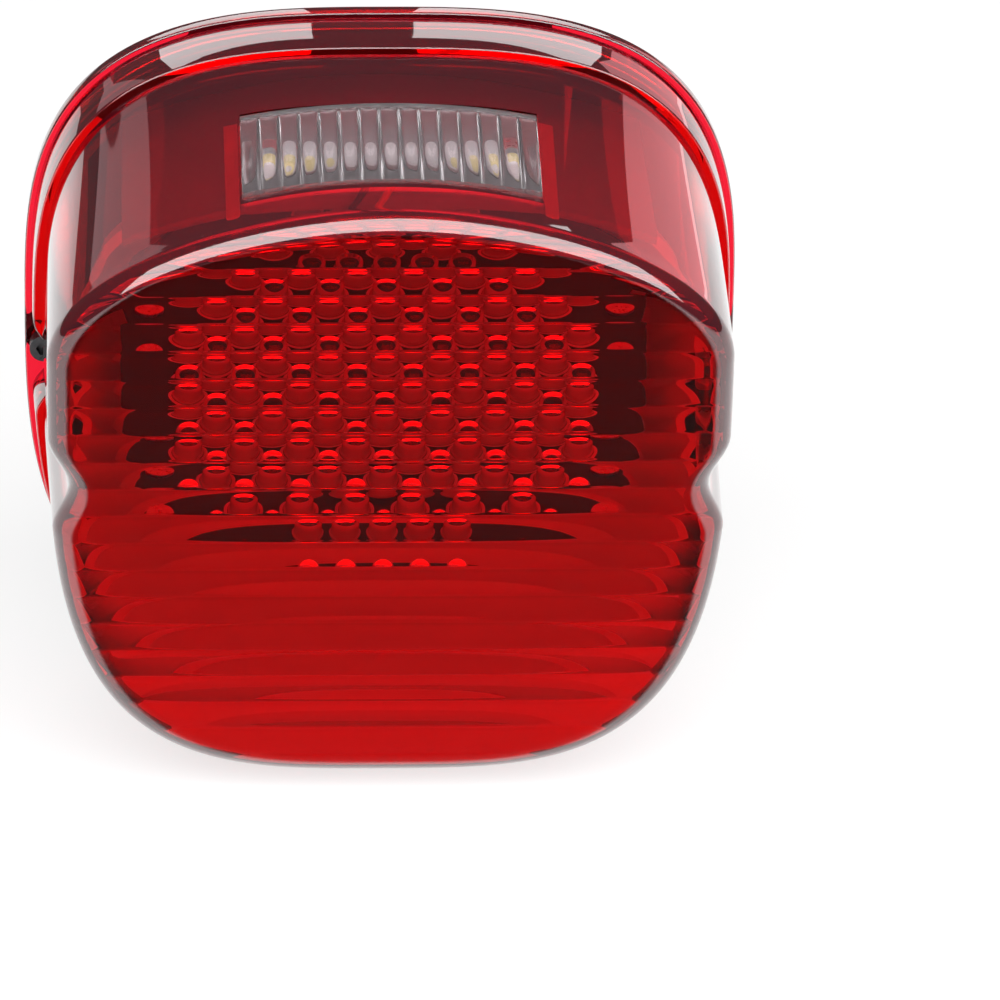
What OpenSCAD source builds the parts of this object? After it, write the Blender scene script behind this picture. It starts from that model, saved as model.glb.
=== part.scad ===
// LED tail light with a slide-off red lens, a clear plate-light window in its roof
// and a black base that bolts to a fender from behind.
// Units are millimetres. +Z is up, +Y points into the fender, the lit face looks along -Y.
// The origin is the centre of the base's flat back face.

/* [Overall outline] */
// Width of the lens over its rear lip
lens_width = 130; // [126:0.5:160]
// Height of the rear lip above the origin
lip_top = 58; // [56:0.5:70]
// Depth of the rear lip below the origin
lip_bottom = 73; // [70:0.5:88]
// Squareness of the rear lip: 2 is an ellipse, larger is squarer
lip_power = 3; // [2.6:0.1:3.6]
// Distance of the face's sides inside the lip's
face_side_inset = 4; // [3:0.5:8]
// Distance of the face's top below the lip's
face_top_inset = 9; // [7:0.5:10]
// Distance of the face's bottom above the lip's
face_bottom_inset = 3; // [3:0.5:8]
// Height of the face's widest line above the origin
face_mid = 17.5; // [14:0.5:20]
// Squareness of the face's arched top
face_top_power = 1.9; // [1.7:0.1:2.2]
// Squareness of the face's lower part
face_low_power = 3.4; // [2.8:0.1:3.8]
// Distance from the lens's rear edge to the face at the origin's height
face_depth = 63.5; // [62:0.5:78]
// Outward lean of the face per millimetre of height
face_lean = 0.09; // [0.04:0.01:0.14]

/* [Lens shell] */
// Gap between the fender plane and the lens's rear edge
lens_back = 5.3; // [4.8:0.1:6]
// Thickness of the rear lip
lip_thickness = 3; // [2.4:0.1:4]
// Width of the small ledge between lip and skirt
lip_ledge = 1; // [0.8:0.1:1.4]
// Length of the skirt in front of the lip
skirt_length = 11; // [10:0.5:14]
// Inward draft of the skirt over its length
skirt_draft = 0.6; // [0.3:0.1:1]
// Distance of the main wall inside the lip's outline
wall_inset = 3; // [2.8:0.1:3.6]
// Wall thickness of roof and sides
wall_thickness = 2.4; // [2:0.1:2.8]
// Thickness of the face between ribs
face_thickness = 3; // [2.4:0.1:3.6]
// Radius of the rounded edge round the face
rim_radius = 5; // [2:0.1:5.2]
// Rounding of the lip's and skirt's edges
edge_round = 0.4; // [0.2:0.1:0.6]

/* [Face ribs] */
// Spacing of the horizontal ribs inside the face
rib_pitch = 5.72; // [5.2:0.02:6.2]
// Height of a rib over the valleys
rib_height = 0.38; // [0.2:0.02:0.8]
// Height of the highest valley between ribs
rib_start = 43.5; // [41:0.5:44]

/* [Screw channels and lens screws] */
// Height of the channels' middle
channel_height = -8.4; // [-12:0.1:-5]
// Half of a channel's length
channel_reach = 9.8; // [8.5:0.1:11]
// Depth of a channel inside the lip's outline, at the lip
channel_depth = 6.7; // [6.3:0.1:7]
// Depth of a channel inside the face's outline, at the face
channel_face_depth = 3.4; // [2.8:0.1:4]
// Radius of a lens screw's shank
screw_radius = 1.5; // [1.2:0.1:1.6]
// Radius of a lens screw's head
screw_head_radius = 2.6; // [2.3:0.1:2.7]
// Height of a lens screw's head
screw_head_height = 2.4; // [2:0.1:3]
// Distance of the lens screws inside the lip's sides
screw_inset = 3.5; // [3.3:0.1:3.7]
// Length of a lens screw under its head
screw_length = 7.6; // [6.6:0.1:7.8]
// Thickness of the washer under a screw head
washer_thickness = 0.5; // [0.3:0.1:0.8]
// Radial running clearance of a screw in its hole and insert
screw_clearance = 0.08; // [0.05:0.01:0.1]

/* [Plate-light window] */
// Width of the window
window_width = 53; // [46:0.5:56]
// Length of the window from back to front
window_length = 25; // [20:0.5:26]
// Distance of the window's rear edge from the fender plane
window_back = 35.5; // [34:0.5:37]
// Radius of the window's arch across its width
window_arch = 136; // [120:1:180]
// Thickness of the window's plate
window_thickness = 1.8; // [1.6:0.1:2.2]
// Number of flutes under the window
flute_count = 15; // [9:2:15]
// Radius of a flute
flute_radius = 1.7; // [1.2:0.1:1.7]

/* [Base housing] */
// Thickness of the base plate
base_thickness = 4; // [3.4:0.1:4.6]
// Wall thickness of the base's upright rim
rim_wall = 2; // [1.6:0.1:2.6]
// Clearance between the base's rim and the lens skirt
nest_clearance = 0.5; // [0.4:0.05:0.8]
// Thickness of the rubber ring on the rim
gasket_thickness = 1.4; // [1:0.1:2]
// Gap between parts that slide apart
slide_gap = 0.3; // [0.3:0.05:0.4]
// Radius of the ear under each lens screw
ear_radius = 3.2; // [3:0.1:3.3]
// Width of the seal cord in the back face
seal_width = 2.4; // [1.8:0.1:3]
// Depth of the seal cord's groove
seal_depth = 1.6; // [1.2:0.1:2]
// Distance of the seal cord inside the base's edge
seal_inset = 4; // [3:0.5:6]

/* [Fender mount] */
// Spacing of the two mounting bolts
mount_spacing = 60; // [48:1:64]
// Radius of the tapped hole in a mounting insert
mount_hole_radius = 2.5; // [2:0.1:3]
// Outer radius of a mounting insert
mount_insert_radius = 4.2; // [3.8:0.1:4.6]
// Length of a mounting insert
mount_insert_length = 9; // [7:0.5:9.5]
// Wall of the boss round a mounting insert
boss_wall = 2.6; // [2:0.1:3.4]
// Radius of the opening for the lead
inlet_radius = 3.5; // [2.5:0.1:4.5]
// Height of the opening for the lead
inlet_height = -22; // [-24:0.5:-18]
// Wall of the rubber grommet
grommet_wall = 1.6; // [1.2:0.1:2]
// Width of the grommet's flanges
grommet_flange = 2; // [1.5:0.1:2.5]

/* [Light board] */
// Distance of the light board's rear side from the fender plane
board_back = 30; // [28:0.5:32]
// Thickness of a circuit board
board_thickness = 1.6; // [1:0.1:2]
// Gap between the light board's sides and the reflector's rim
board_side_gap = 10; // [8:0.5:11]
// Gap between the light board's top edge and the reflector's rim
board_top_gap = 4; // [3:0.5:5]
// Height of the light board's bottom edge
board_bottom = -37; // [-40:0.5:-36]
// Distance of the upper board posts inside the board's sides
upper_post_inset = 5; // [4.5:0.5:6]
// Height of the upper board posts
upper_post_z = 10; // [8:0.5:12]
// Distance of the lower board posts inside the board's sides
lower_post_inset = 7; // [6:0.5:8]
// Height of the lower board posts
lower_post_z = -24; // [-26:0.5:-22]
// Radius of a board post
post_radius = 3.4; // [3:0.1:4]
// Width of the shoulder on a board post that carries the reflector
post_shoulder = 2; // [1.5:0.1:2.6]
// Radius of the spigot that holds a board post in the base plate
spigot_radius = 2.2; // [1.6:0.1:2.8]
// Length of that spigot
spigot_length = 2.4; // [1.8:0.1:2.8]
// Radius of a board screw's shank
board_screw_radius = 1.25; // [1:0.05:1.4]
// Radius of a board screw's head
board_screw_head = 2.6; // [2.2:0.1:3]
// Length of a board screw under its head
board_screw_length = 15.6; // [12:0.1:17]
// Radius of an LED's round body
led_radius = 2.5; // [2:0.1:2.6]
// Radius of the collar at an LED's foot
led_collar = 2.9; // [2.6:0.1:3]
// Height of an LED over the board
led_height = 8.6; // [7:0.1:9]
// Sideways distance between neighbouring LED columns
led_column_pitch = 5; // [4.8:0.05:5.1]
// Distance between neighbouring LED rows
led_row_pitch = 5.1; // [4.9:0.05:5.2]
// Height of the highest staggered LED row
led_top_row = 20; // [19.5:0.5:20.5]
// Distance between LEDs of the short rows at top and bottom
short_row_pitch = 6.7; // [6.4:0.1:7]

/* [Reflector] */
// Distance of the reflector's rim inside the lip's sides
reflector_side_inset = 8; // [7.5:0.5:9]
// Distance of the reflector's rim below the lip's top
reflector_top_inset = 21; // [20.5:0.5:23]
// Distance of the reflector's rim above the lip's bottom
reflector_bottom_inset = 9; // [8:0.5:12]
// Distance of the reflector's rim from the fender plane
reflector_front = 36; // [32:0.5:40]
// Distance of the reflector's floor from the fender plane
reflector_floor = 12; // [11.5:0.5:14]
// Inward slope of the reflector from rim to floor
reflector_slope = 8; // [6:0.5:10]
// Wall thickness of the reflector
reflector_wall = 1.6; // [1.2:0.1:2]

/* [Plate light] */
// Distance of the hood's crown below the lip's top
hood_drop = 15.5; // [15:0.5:16.5]
// Drop of the hood's sides below its crown
hood_sag = 8.8; // [7.5:0.1:9.5]
// Distance of the hood's sides inside the reflector's rim
hood_side_gap = 10; // [9.5:0.5:13]
// Thickness of the hood
hood_thickness = 1.8; // [1.4:0.1:2.2]
// Distance of the hood's front edge from the fender plane
hood_front = 52; // [48:0.5:54]
// Width of the plate-light board
plate_board_width = 49; // [47:0.5:50]
// Distance of the plate-light board's rear edge from the fender plane
plate_board_back = 36; // [34:0.5:38]
// Distance of the plate-light board's front edge from the fender plane
plate_board_front = 49; // [47:0.5:50]
// Width of the tongue at the plate-light board's front
tongue_width = 37; // [30:0.5:40]
// Length of the tongue
tongue_length = 3; // [2:0.5:4]
// Number of white LED chips
chip_count = 13; // [9:2:13]
// Spacing of the white LED chips
chip_pitch = 3.45; // [3.3:0.05:3.5]
// Radius of a jumper wire
wire_radius = 0.65; // [0.5:0.05:0.8]

/* [Hidden] */
$fn = 48;
half_width = lens_width / 2;
face_half_width = half_width - face_side_inset;
face_rise = lip_top - face_top_inset - face_mid;
face_drop = lip_bottom - face_bottom_inset + face_mid;
lip_front = lens_back + lip_thickness;
shoulder = lip_front + skirt_length;
face_front = lens_back + face_depth;
skirt_inset = lip_ledge + skirt_draft;
skirt_inner_inset = skirt_inset + wall_thickness - edge_round;
ledge = shoulder - wall_thickness + edge_round;
rim_inset = skirt_inner_inset + nest_clearance;
gasket_back = ledge - slide_gap - gasket_thickness;
ear_top = lens_back - slide_gap;
screw_seat = lip_front + screw_clearance;
screw_x = half_width - screw_inset;
insert_wall = 0.7;
insert_back = 0.6;
pilot_gap = 0.05;
mount_boss_radius = mount_insert_radius + boss_wall;
board_front = board_back + board_thickness;
floor_top = reflector_floor + reflector_wall;
reflector_half_width = half_width - reflector_side_inset;
reflector_top = lip_top - reflector_top_inset;
reflector_bottom = lip_bottom - reflector_bottom_inset;
board_half_width = reflector_half_width - board_side_gap;
board_top = reflector_top - board_top_gap;
upper_post_x = board_half_width - upper_post_inset;
lower_post_x = board_half_width - lower_post_inset;
hood_crown = lip_top - hood_drop;
hood_half_width = reflector_half_width - hood_side_gap;
hood_arch = (pow(hood_half_width, 2) + pow(hood_sag, 2)) / (2 * hood_sag);
plate_top = hood_crown + board_thickness;
posts = [
  [upper_post_x, upper_post_z],
  [-upper_post_x, upper_post_z],
  [lower_post_x, lower_post_z],
  [-lower_post_x, lower_post_z]
];

// Turns a piece drawn with its height along Y and its depth along Z into the part's frame
module outward() {
  rotate([90, 0, 0]) children();
}

// Share of the height at each row of the lens, a few rows to a rib, with extra rows at both ends
rib_low = face_mid - face_drop + wall_thickness;
rib_high = face_mid + face_rise - wall_thickness;
rows_per_rib = 4;
row_pitch = rib_pitch / rows_per_rib;
low_shares = [0.001, 0.004, 0.009];
high_shares = [0.983, 0.991, 0.996, 0.999];
rib_floor = rib_low + 1;
rib_rows = floor((rib_start - rib_floor) / row_pitch);
row_shares = concat(
  low_shares,
  [for (k = [rib_rows:-1:0]) (rib_start - k * row_pitch - rib_low) / (rib_high - rib_low)],
  high_shares
);
row_count = len(row_shares);

// Half-width of an outline with its own powers above and below its widest line
function half_at(v, half, top_power, low_power) =
  let (power = v >= 0 ? top_power : low_power)
  half * pow(max(0, 1 - pow(abs(v), power)), 1 / power);

// How much of a screw channel's depth is reached at a height
function channel_part(z) =
  abs(z - channel_height) < channel_reach
    ? pow(cos(90 * (z - channel_height) / channel_reach), 2)
    : 0;

// One closed ring of points [x, height], up the right side and down the left, dented by the channels
function ring(half, mid, rise, drop, top_power, low_power, dent) =
  let (
    right = [for (share = row_shares)
      let (
        z = mid - drop + share * (rise + drop),
        v = z >= mid ? (z - mid) / rise : (z - mid) / drop
      )
      [half_at(v, half, top_power, low_power) - dent * channel_part(z), z]]
  )
  concat(right, [for (k = [row_count - 1:-1:0]) [-right[k][0], right[k][1]]]);

// Ring of the rear lip's outline, moved inward
function lip_ring(inset, dent = 0) =
  ring(half_width - inset, 0, lip_top - inset, lip_bottom - inset, lip_power, lip_power, dent);

// Ring of the face's outline, moved inward
function face_ring(inset) =
  ring(face_half_width - inset, face_mid, face_rise - inset, face_drop - inset,
    face_top_power, face_low_power, channel_face_depth);

// Depth of the channels in a ring of the lip's outline
function lip_dent(inset) = channel_depth - inset;

// Front surface of the face at a height
function face_at(z) = face_front + face_lean * z;

// Bulge of the ribs inside the face at a height
function rib_at(z) =
  let (
    turn = (rib_start - z) / rib_pitch,
    share = turn - floor(turn)
  )
  4 * rib_height * share * (1 - share);

function at_depth(points, depth) = [for (p = points) [p[0], p[1], depth]];

function under_face(points, below) = [for (p = points) [p[0], p[1], face_at(p[1]) - below]];

function ribbed(points) =
  [for (p = points) [p[0], p[1], face_at(p[1]) - face_thickness - rib_at(p[1])]];

// Closed skin through rings of equal length: rings run from the outer cap to the inner cap
module ring_skin(rings, last_cap) {
  size = len(rings[0]);
  count = len(rings);
  points = [for (r = rings) each r];
  sides = [for (k = [0:count - 2]) for (i = [0:size - 1])
    let (j = (i + 1) % size)
    [k * size + i, k * size + j, (k + 1) * size + j, (k + 1) * size + i]];
  polyhedron(points, concat([[for (i = [size - 1:-1:0]) i]], sides, last_cap));
}

// Flat cap over the last ring
function plain_cap(size, count) = [[for (i = [0:size - 1]) (count - 1) * size + i]];

// Cap of level strips over the last ring, one strip between each two rows
function strip_cap(size, count) =
  let (start = (count - 1) * size)
  [for (i = [0:row_count - 2]) [start + i, start + i + 1, start + size - 2 - i, start + size - 1 - i]];

// Outline of the base's edge or of a step inside it, with the channels' dents
module base_outline(inset) {
  polygon(lip_ring(inset, lip_dent(skirt_inner_inset) + wall_thickness - edge_round));
}

module base_ring(outer, inner) {
  difference() {
    base_outline(outer);
    base_outline(inner);
  }
}

module disc(x, height, from, to, radius) {
  translate([x, height, from]) cylinder(r = radius, h = to - from);
}

module block(x, height, from, size) {
  translate([x - size[0] / 2, height - size[1] / 2, from]) cube(size);
}

// Point on the smooth curve that a list of control points pulls on
function on_curve(points, t) =
  len(points) == 1
    ? points[0]
    : on_curve([for (k = [0:len(points) - 2]) points[k] * (1 - t) + points[k + 1] * t], t);

// Ring of a wire round a point of its curve
function wire_ring(points, t, radius) =
  let (
    step = 0.01,
    run = on_curve(points, min(1, t + step)) - on_curve(points, max(0, t - step)),
    along = run / norm(run),
    across = cross(along, [1, 0, 0]),
    u = across / norm(across),
    v = cross(u, along)
  )
  [for (angle = [0:30:330]) on_curve(points, t) + radius * (cos(angle) * u + sin(angle) * v)];

// Round wire along the curve of its control points
module wire(points, radius) {
  rings = [for (t = [0:1 / 24:1.001]) wire_ring(points, min(1, t), radius)];
  ring_skin(rings, plain_cap(len(rings[0]), len(rings)));
}

module base_housing() {
  color([0.06, 0.06, 0.065]) outward() difference() {
    union() {
      linear_extrude(base_thickness) base_outline(rim_inset);
      linear_extrude(gasket_back) base_ring(rim_inset, rim_inset + rim_wall);
      for (side = [-1, 1]) {
        disc(side * screw_x, channel_height, 0, ear_top, ear_radius);
        translate([side * (screw_x - ear_radius - rim_wall), channel_height, ear_top / 2])
          cube([2 * ear_radius + 2 * rim_wall, 2 * ear_radius, ear_top], center = true);
        disc(side * mount_spacing / 2, 0, 0, mount_insert_length + boss_wall / 2, mount_boss_radius);
      }
    }
    translate([0, 0, -1]) linear_extrude(seal_depth + 1)
      base_ring(rim_inset + seal_inset, rim_inset + seal_inset + seal_width);
    for (side = [-1, 1]) {
      disc(side * screw_x, channel_height, insert_back, ear_top + 1,
        screw_radius + screw_clearance + insert_wall);
      disc(side * mount_spacing / 2, 0, -1, mount_insert_length, mount_insert_radius);
    }
    for (p = posts) disc(p[0], p[1], base_thickness - spigot_length, base_thickness + 1, spigot_radius);
    disc(0, inlet_height, -1, base_thickness + 1, inlet_radius + grommet_wall);
  }
}

module board_posts() {
  color([0.09, 0.09, 0.095]) outward() for (p = posts) difference() {
    union() {
      disc(p[0], p[1], base_thickness - spigot_length, base_thickness, spigot_radius);
      disc(p[0], p[1], base_thickness, reflector_floor, post_radius + post_shoulder);
      disc(p[0], p[1], base_thickness, board_back, post_radius);
    }
    disc(p[0], p[1], reflector_floor, board_back + 1, board_screw_radius + pilot_gap);
  }
}

module base_seal() {
  color([0.03, 0.03, 0.03]) outward() linear_extrude(seal_depth)
    base_ring(rim_inset + seal_inset, rim_inset + seal_inset + seal_width);
}

module mount_inserts() {
  color([0.75, 0.6, 0.28]) outward() for (side = [-1, 1]) difference() {
    disc(side * mount_spacing / 2, 0, 0, mount_insert_length, mount_insert_radius);
    disc(side * mount_spacing / 2, 0, -1, mount_insert_length - 1, mount_hole_radius);
  }
}

module lens_screw_inserts() {
  color([0.75, 0.6, 0.28]) outward() for (side = [-1, 1]) difference() {
    disc(side * screw_x, channel_height, insert_back, ear_top,
      screw_radius + screw_clearance + insert_wall);
    disc(side * screw_x, channel_height, insert_back - 1, ear_top + 1, screw_radius + screw_clearance);
  }
}

module rim_gasket() {
  color([0.03, 0.03, 0.03]) outward() translate([0, 0, gasket_back]) linear_extrude(gasket_thickness)
    base_ring(rim_inset, rim_inset + rim_wall);
}

module wire_grommet() {
  color([0.04, 0.04, 0.04]) outward() difference() {
    union() {
      disc(0, inlet_height, 0, base_thickness, inlet_radius + grommet_wall);
      disc(0, inlet_height, base_thickness, base_thickness + grommet_wall,
        inlet_radius + grommet_wall + grommet_flange);
    }
    disc(0, inlet_height, -1, base_thickness + grommet_wall + 1, inlet_radius);
  }
}

// Ring of the reflector, moved inward from its rim
function reflector_ring(inset, depth) = at_depth(
  ring(reflector_half_width - inset, 0, reflector_top - inset, reflector_bottom - inset,
    lip_power, lip_power, lip_dent(skirt_inner_inset)),
  depth
);

module reflector() {
  size = 2 * row_count;
  rings = [
    reflector_ring(reflector_slope, reflector_floor),
    reflector_ring(reflector_slope / 3, (2 * reflector_front + reflector_floor) / 3),
    reflector_ring(0, reflector_front),
    reflector_ring(reflector_wall, reflector_front),
    reflector_ring(reflector_slope / 3 + reflector_wall, (2 * reflector_front + reflector_floor) / 3),
    reflector_ring(reflector_slope + reflector_wall, floor_top)
  ];
  color([0.86, 0.87, 0.88]) outward() difference() {
    ring_skin(rings, plain_cap(size, len(rings)));
    for (p = posts) disc(p[0], p[1], reflector_floor - 1, floor_top + 1, post_radius + pilot_gap);
    disc(0, inlet_height, reflector_floor - 1, floor_top + 1, inlet_radius + grommet_wall);
  }
}

module board_outline() {
  polygon([for (angle = [0:5:355])
    let (
      c = cos(angle),
      s = sin(angle),
      reach = s >= 0 ? board_top : -board_bottom,
      r = pow(pow(abs(c) / board_half_width, 3) + pow(abs(s) / reach, 3), -1 / 3)
    )
    [r * c, r * s]]);
}

module light_board() {
  color([0.05, 0.06, 0.06]) outward() difference() {
    translate([0, 0, board_back]) linear_extrude(board_thickness) board_outline();
    for (p = posts) disc(p[0], p[1], board_back - 1, board_front + 1, board_screw_radius + pilot_gap);
  }
}

module board_screws() {
  head_height = 2;
  slot_depth = 0.9;
  slot = [0.7, 3.2, 2];
  color([0.62, 0.63, 0.65]) outward() for (p = posts) difference() {
    union() {
      disc(p[0], p[1], board_front - board_screw_length, board_front, board_screw_radius);
      disc(p[0], p[1], board_front, board_front + head_height, board_screw_head);
    }
    block(p[0], p[1], board_front + head_height - slot_depth, slot);
    block(p[0], p[1], board_front + head_height - slot_depth, [slot[1], slot[0], slot[2]]);
  }
}

// Outermost LED column of each staggered row, counted in column steps from the centre plane
led_reach = [4, 5, 6, 7, 6, 7, 6, 7, 6, 5];

module led(x, height) {
  translate([x, height, board_front]) {
    cylinder(r = led_collar, h = 1);
    cylinder(r = led_radius, h = led_height - led_radius);
    translate([0, 0, led_height - led_radius]) sphere(r = led_radius);
  }
}

module red_leds() {
  last_row = len(led_reach) - 1;
  color([0.85, 0.12, 0.1]) outward() {
    for (row = [0:last_row])
      for (column = [-led_reach[row]:2:led_reach[row]])
        led(column * led_column_pitch, led_top_row - row * led_row_pitch);
    for (k = [-2:2]) {
      led(k * short_row_pitch, led_top_row + led_row_pitch + led_collar / 2);
      led(k * short_row_pitch, led_top_row - (last_row + 1) * led_row_pitch - led_collar / 2);
    }
  }
}

module chip_resistors() {
  chip = [3.2, 1.6, 0.8];
  row_height = -29;
  spacing = 7;
  color([0.1, 0.1, 0.11]) outward() for (column = [-4:4])
    block(column * spacing, row_height, board_back - chip[2], chip);
}

module regulator() {
  body = [6.6, 6.1, 2.3];
  tab = [5.2, 1.6, 0.6];
  x = -16;
  height = 22;
  color([0.08, 0.08, 0.09]) outward() {
    block(x, height, board_back - body[2], body);
    block(x, height + (body[1] + tab[1]) / 2, board_back - tab[2], tab);
  }
}

module surge_diode() {
  body = [4.6, 2.7, 2.3];
  height = 24;
  color([0.07, 0.07, 0.08]) outward() block(0, height, board_back - body[2], body);
}

module filter_capacitor() {
  can_radius = 4;
  can_length = 9;
  x = 16;
  height = 20;
  color([0.15, 0.17, 0.3]) outward()
    disc(x, height, board_back - can_length, board_back, can_radius);
}

module lead_connector() {
  body = [9, 6, 8];
  cavity = [7.4, 4.4, 6];
  above_inlet = 10;
  height = inlet_height + above_inlet;
  color([0.9, 0.88, 0.82]) outward() difference() {
    block(0, height, board_back - body[2], body);
    block(0, height, board_back - body[2] - 1, [cavity[0], cavity[1], cavity[2] + 1]);
  }
}

module hood_arc(radius) {
  translate([0, hood_crown - hood_arch]) circle(r = radius, $fn = 180);
}

module plate_hood() {
  pad_width = plate_board_width + 2;
  pad_depth = 4.4;
  color([0.05, 0.05, 0.055]) outward() difference() {
    union() {
      translate([0, 0, base_thickness]) linear_extrude(hood_front - base_thickness) intersection() {
        difference() {
          hood_arc(hood_arch);
          hood_arc(hood_arch - hood_thickness);
        }
        translate([-hood_half_width, 0]) square([2 * hood_half_width, lip_top]);
      }
      translate([-pad_width / 2, hood_crown - pad_depth, plate_board_back - 1])
        cube([pad_width, pad_depth, hood_front - plate_board_back + 1]);
    }
    for (side = [-1, 1]) plate_screw_hole(side);
  }
}

plate_screw_inset = [2.4, 3];
plate_screw_x = plate_board_width / 2 - plate_screw_inset[0];
plate_screw_depth = plate_board_back + plate_screw_inset[1];
plate_screw_radius = 0.9;
plate_screw_reach = 3;
pilot_reach = 3.4;

module plate_screw_hole(side) {
  translate([side * plate_screw_x, hood_crown - pilot_reach, plate_screw_depth])
    rotate([-90, 0, 0]) cylinder(r = plate_screw_radius + pilot_gap, h = pilot_reach + 2 * board_thickness);
}

module plate_board() {
  tongue_half = tongue_width / 2;
  half = plate_board_width / 2;
  front = plate_board_front + tongue_length;
  color([0.92, 0.92, 0.9]) outward() difference() {
    translate([0, hood_crown, 0]) rotate([-90, 0, 0]) mirror([0, 1, 0]) linear_extrude(board_thickness)
      polygon([
        [-half, plate_board_back], [half, plate_board_back],
        [half, plate_board_front], [tongue_half, plate_board_front],
        [tongue_half, front], [-tongue_half, front],
        [-tongue_half, plate_board_front], [-half, plate_board_front]
      ]);
    for (side = [-1, 1]) plate_screw_hole(side);
  }
}

module plate_board_screws() {
  head_height = 1.2;
  head_radius = 1.8;
  length = plate_screw_reach + board_thickness;
  color([0.62, 0.63, 0.65]) outward() for (side = [-1, 1])
    translate([side * plate_screw_x, plate_top - length, plate_screw_depth]) rotate([-90, 0, 0]) {
      cylinder(r = plate_screw_radius, h = length);
      translate([0, 0, length]) cylinder(r = head_radius, h = head_height);
    }
}

module white_leds() {
  chip = [2.8, 0.8, 3];
  lens_radius = 1.1;
  lens_height = 0.25;
  ahead_of_middle = 0.5;
  chip_depth = (plate_board_back + plate_board_front) / 2 + ahead_of_middle;
  last = (chip_count - 1) / 2;
  color([0.95, 0.93, 0.8]) outward()
    for (k = [-last:last]) translate([k * chip_pitch, plate_top, chip_depth]) {
      translate([-chip[0] / 2, 0, -chip[2] / 2]) cube(chip);
      translate([0, chip[1], 0]) rotate([-90, 0, 0]) cylinder(r = lens_radius, h = lens_height);
    }
}

jumper_spread = 2.2;
jumper_shift = 7;
jumper_foot = 3.5;
jumper_overhang = 5;

// Route of a jumper from the plate-light board's tongue over the hood's edge to the light board
function jumper_route(side) =
  let (
    start = side * jumper_spread,
    end = start - jumper_shift,
    pad = plate_board_front + 1,
    foot = board_top - jumper_foot,
    over_edge = hood_front + jumper_overhang
  )
  [
    [start, plate_top, pad],
    [start, plate_top + 3.6, pad],
    [start - 3, plate_top + 1.6, over_edge],
    [end, plate_top - 8, over_edge],
    [end, foot, over_edge - 4],
    [end, foot, board_front]
  ];

module red_jumper() {
  color([0.75, 0.05, 0.05]) outward() wire(jumper_route(1), wire_radius);
}

module black_jumper() {
  color([0.03, 0.03, 0.03]) outward() wire(jumper_route(-1), wire_radius);
}

// Piece of the roof that the window fills
module window_space() {
  translate([-window_width / 2, face_mid, window_back])
    cube([window_width, lip_top, window_length]);
}

module lens_shell() {
  size = 2 * row_count;
  rim = [for (angle = [0:30:90]) [rim_radius * (1 - cos(angle)), rim_radius * (1 - sin(angle))]];
  inner_dent = lip_dent(skirt_inset);
  outer_rings = [
    at_depth(lip_ring(edge_round), lens_back),
    at_depth(lip_ring(0), lens_back + edge_round),
    at_depth(lip_ring(0), lip_front - edge_round),
    at_depth(lip_ring(edge_round), lip_front),
    at_depth(lip_ring(lip_ledge - edge_round / 4), lip_front),
    at_depth(lip_ring(lip_ledge, lip_dent(lip_ledge)), lip_front),
    at_depth(lip_ring(skirt_inset, lip_dent(skirt_inset)), shoulder - edge_round),
    at_depth(lip_ring(skirt_inset + edge_round, lip_dent(skirt_inset + edge_round)), shoulder),
    at_depth(lip_ring(wall_inset, lip_dent(wall_inset)), shoulder)
  ];
  rim_rings = [for (step = rim) under_face(face_ring(step[0]), step[1])];
  inner_rings = [
    at_depth(lip_ring(skirt_inner_inset, inner_dent), lens_back),
    at_depth(lip_ring(skirt_inner_inset, inner_dent), ledge),
    at_depth(lip_ring(wall_inset + wall_thickness, lip_dent(wall_inset)), ledge),
    ribbed(face_ring(wall_thickness))
  ];
  rings = concat(
    [for (k = [len(rim_rings) - 1:-1:0]) rim_rings[k]],
    [for (k = [len(outer_rings) - 1:-1:0]) outer_rings[k]],
    inner_rings
  );
  color([0.72, 0.02, 0.04, 0.6]) outward() difference() {
    ring_skin(rings, strip_cap(size, len(rings)));
    window_space();
    for (side = [-1, 1])
      disc(side * screw_x, channel_height, lens_back - 1, lip_front + 1, screw_radius + screw_clearance);
  }
}

// Fall of the roof from the shoulder to the face, and the roof's height over the window's middle
roof_back = lip_top - wall_inset;
roof_front = face_mid + face_rise;
roof_run = face_at(roof_front) - shoulder;
roof_slope = atan((roof_back - roof_front) / roof_run);
window_mid = window_back + window_length / 2;
window_crown = roof_back - (window_mid - shoulder) / roof_run * (roof_back - roof_front);

module window_profile() {
  plate_inner = window_arch - window_thickness;
  flute_turn = window_width / flute_count / plate_inner * 180 / PI;
  intersection() {
    union() {
      difference() {
        circle(r = window_arch, $fn = 360);
        circle(r = plate_inner, $fn = 360);
      }
      for (k = [-(flute_count - 1) / 2:(flute_count - 1) / 2])
        rotate(k * flute_turn) translate([0, plate_inner]) circle(r = flute_radius);
    }
    translate([-window_width / 2, 0]) square([window_width, window_arch]);
  }
}

module plate_window() {
  reach = 2 * window_length;
  color([0.95, 0.96, 0.97, 0.4]) outward() intersection() {
    translate([0, window_crown, window_mid]) rotate([roof_slope, 0, 0])
      translate([0, -window_arch, -reach / 2]) linear_extrude(reach) window_profile();
    window_space();
  }
}

module lens_screw(side) {
  key_radius = 1.45;
  key_depth = 1.4;
  head_back = screw_seat + washer_thickness;
  outward() difference() {
    union() {
      disc(side * screw_x, channel_height, head_back - screw_length, head_back, screw_radius);
      disc(side * screw_x, channel_height, head_back, head_back + screw_head_height, screw_head_radius);
    }
    translate([side * screw_x, channel_height, head_back + screw_head_height - key_depth])
      cylinder(r = key_radius, h = key_depth + 1, $fn = 6);
  }
}

module screw_washer(side) {
  outward() difference() {
    disc(side * screw_x, channel_height, screw_seat, screw_seat + washer_thickness, screw_head_radius);
    disc(side * screw_x, channel_height, screw_seat - 1, screw_seat + washer_thickness + 1, screw_radius);
  }
}

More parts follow.
